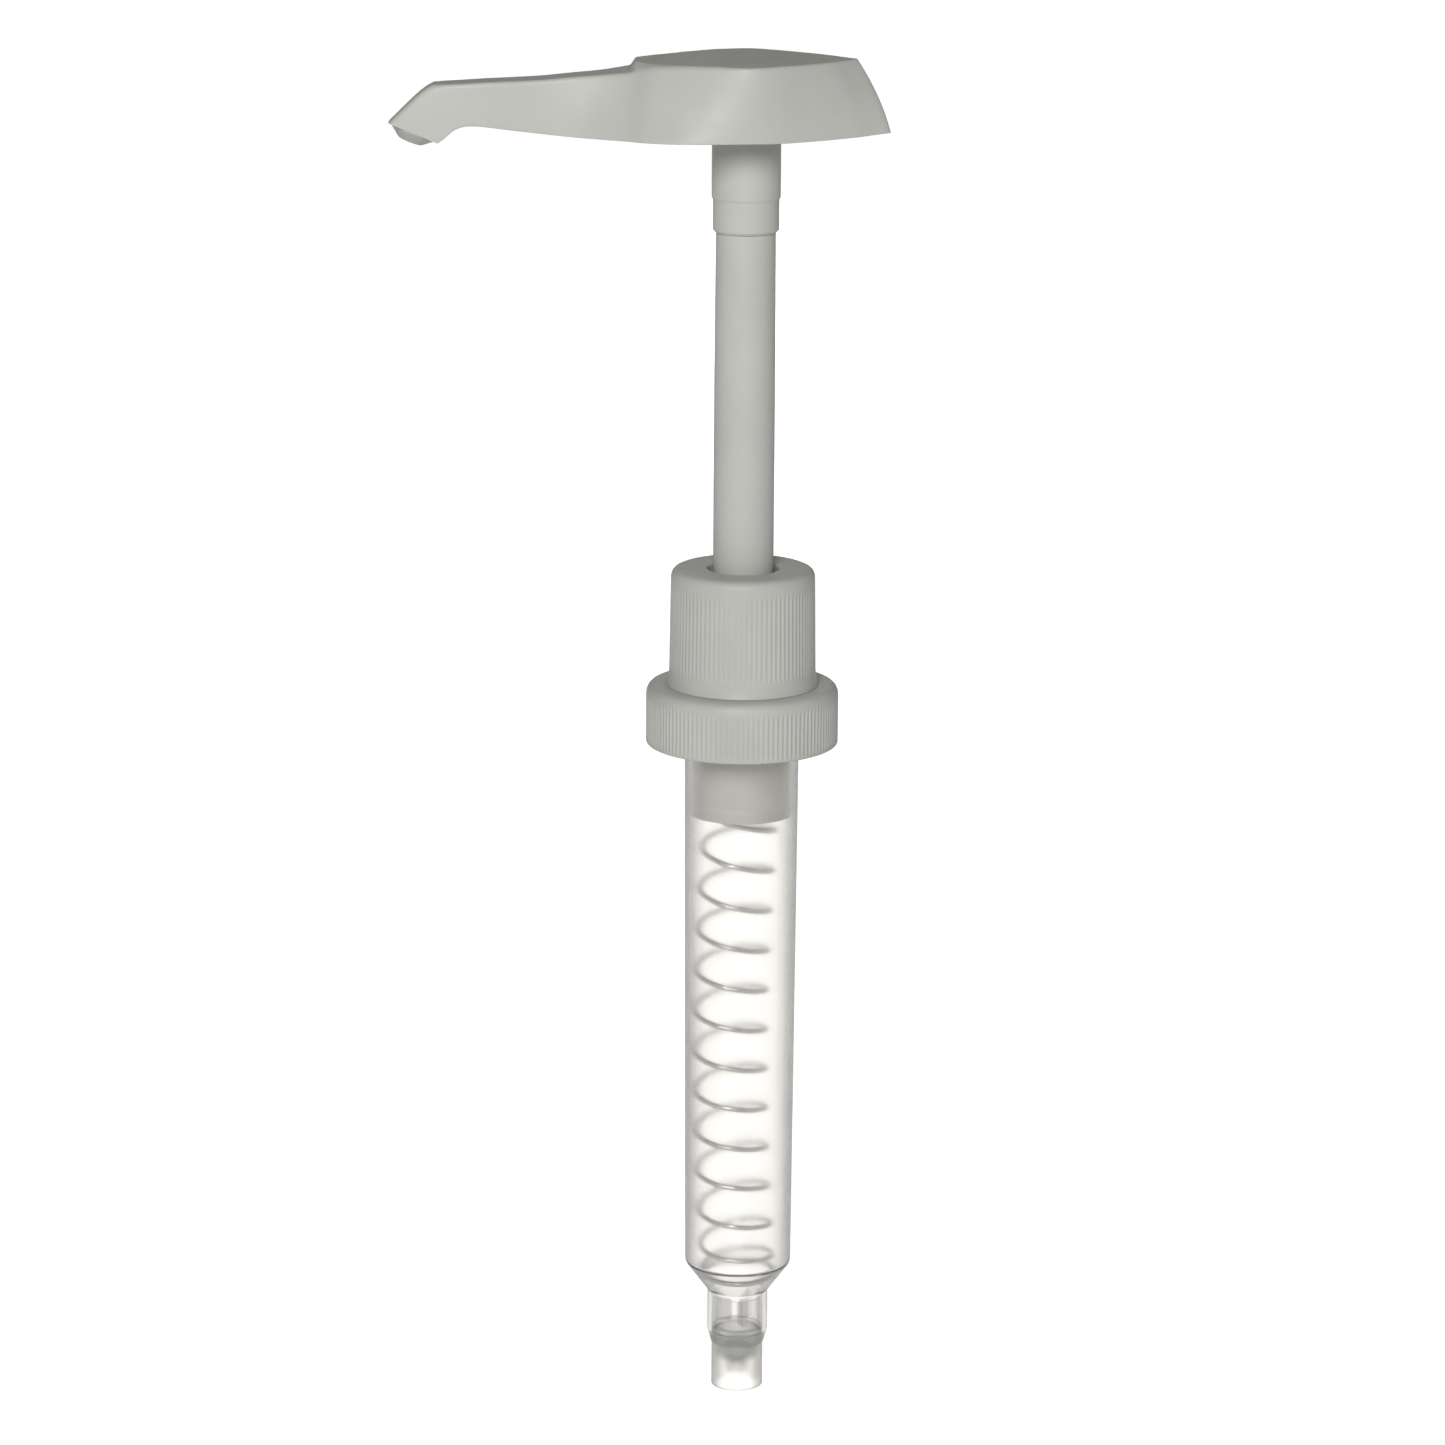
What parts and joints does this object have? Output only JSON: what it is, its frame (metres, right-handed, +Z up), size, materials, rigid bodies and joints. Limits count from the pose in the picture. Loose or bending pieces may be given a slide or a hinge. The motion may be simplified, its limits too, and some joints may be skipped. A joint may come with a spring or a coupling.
{
  "type": "condiment pump dispenser",
  "caption": "Hand pump with a long spout head, stem, ribbed lock collar, screw closure and clear spring chamber, for a wide-neck condiment jug.",
  "frame": {"origin": "on the pump axis, in the plane where the gasket seals on the bottle's rim", "axes": "+Z up along the stem, the spout points along -X, Y across the head"},
  "size_m": [0.1077, 0.0424, 0.3023],
  "materials": {
    "grey_plastic": "satin moulded polypropylene, warm light grey",
    "clear_plastic": "clear moulded polypropylene, slightly hazy",
    "tube_plastic": "natural polyethylene tube, translucent",
    "valve_plastic": "natural moulded plastic, translucent blue-grey",
    "seal_plastic": "soft polyethylene",
    "nozzle_plastic": "moulded polypropylene",
    "seal_rubber": "food-grade elastomer",
    "spring_steel": "drawn stainless wire",
    "ball_steel": "polished stainless"
  },
  "bodies": {
    "housing": {"pump_housing": "clear_plastic", "neck_gasket": "seal_rubber", "lock_collar": "grey_plastic", "stem_guide": "grey_plastic", "wiper_seal": "seal_rubber", "ball_cage": "valve_plastic", "foot_valve_seat": "valve_plastic", "dip_tube": "tube_plastic", "return_spring": "spring_steel"},
    "closure": {"closure_cap": "grey_plastic"},
    "piston": {"piston_body": "grey_plastic", "piston_seal": "seal_plastic", "stem_o_ring": "seal_rubber"},
    "head": {"stem_tube": "grey_plastic", "ball_stop": "valve_plastic", "stem_socket": "grey_plastic", "head_shell": "grey_plastic", "nozzle_tip": "nozzle_plastic"},
    "inlet_ball": {"inlet_ball": "ball_steel"},
    "outlet_ball": {"outlet_ball": "ball_steel"}
  },
  "joints": [
    {"name": "pump_stroke", "type": "slide", "parent": "housing", "child": "piston", "axis": [0, 0, -1], "range_m": [0, 0.073], "stiffness_N_per_m": 250, "springref_m": -0.04, "deforming": ["return_spring"]},
    {"name": "head_swivel", "type": "hinge", "parent": "piston", "child": "head", "pos_m": [0, 0, 0.05], "axis": [0, 0, 1], "continuous": true},
    {"name": "closure_spin", "type": "hinge", "parent": "housing", "child": "closure", "pos_m": [0, 0, 0], "axis": [0, 0, 1], "continuous": true},
    {"name": "inlet_ball_lift", "type": "slide", "parent": "housing", "child": "inlet_ball", "axis": [0, 0, 1], "range_m": [0, 0.002]},
    {"name": "outlet_ball_lift", "type": "slide", "parent": "piston", "child": "outlet_ball", "axis": [0, 0, 1], "range_m": [0, 0.002]}
  ]
}
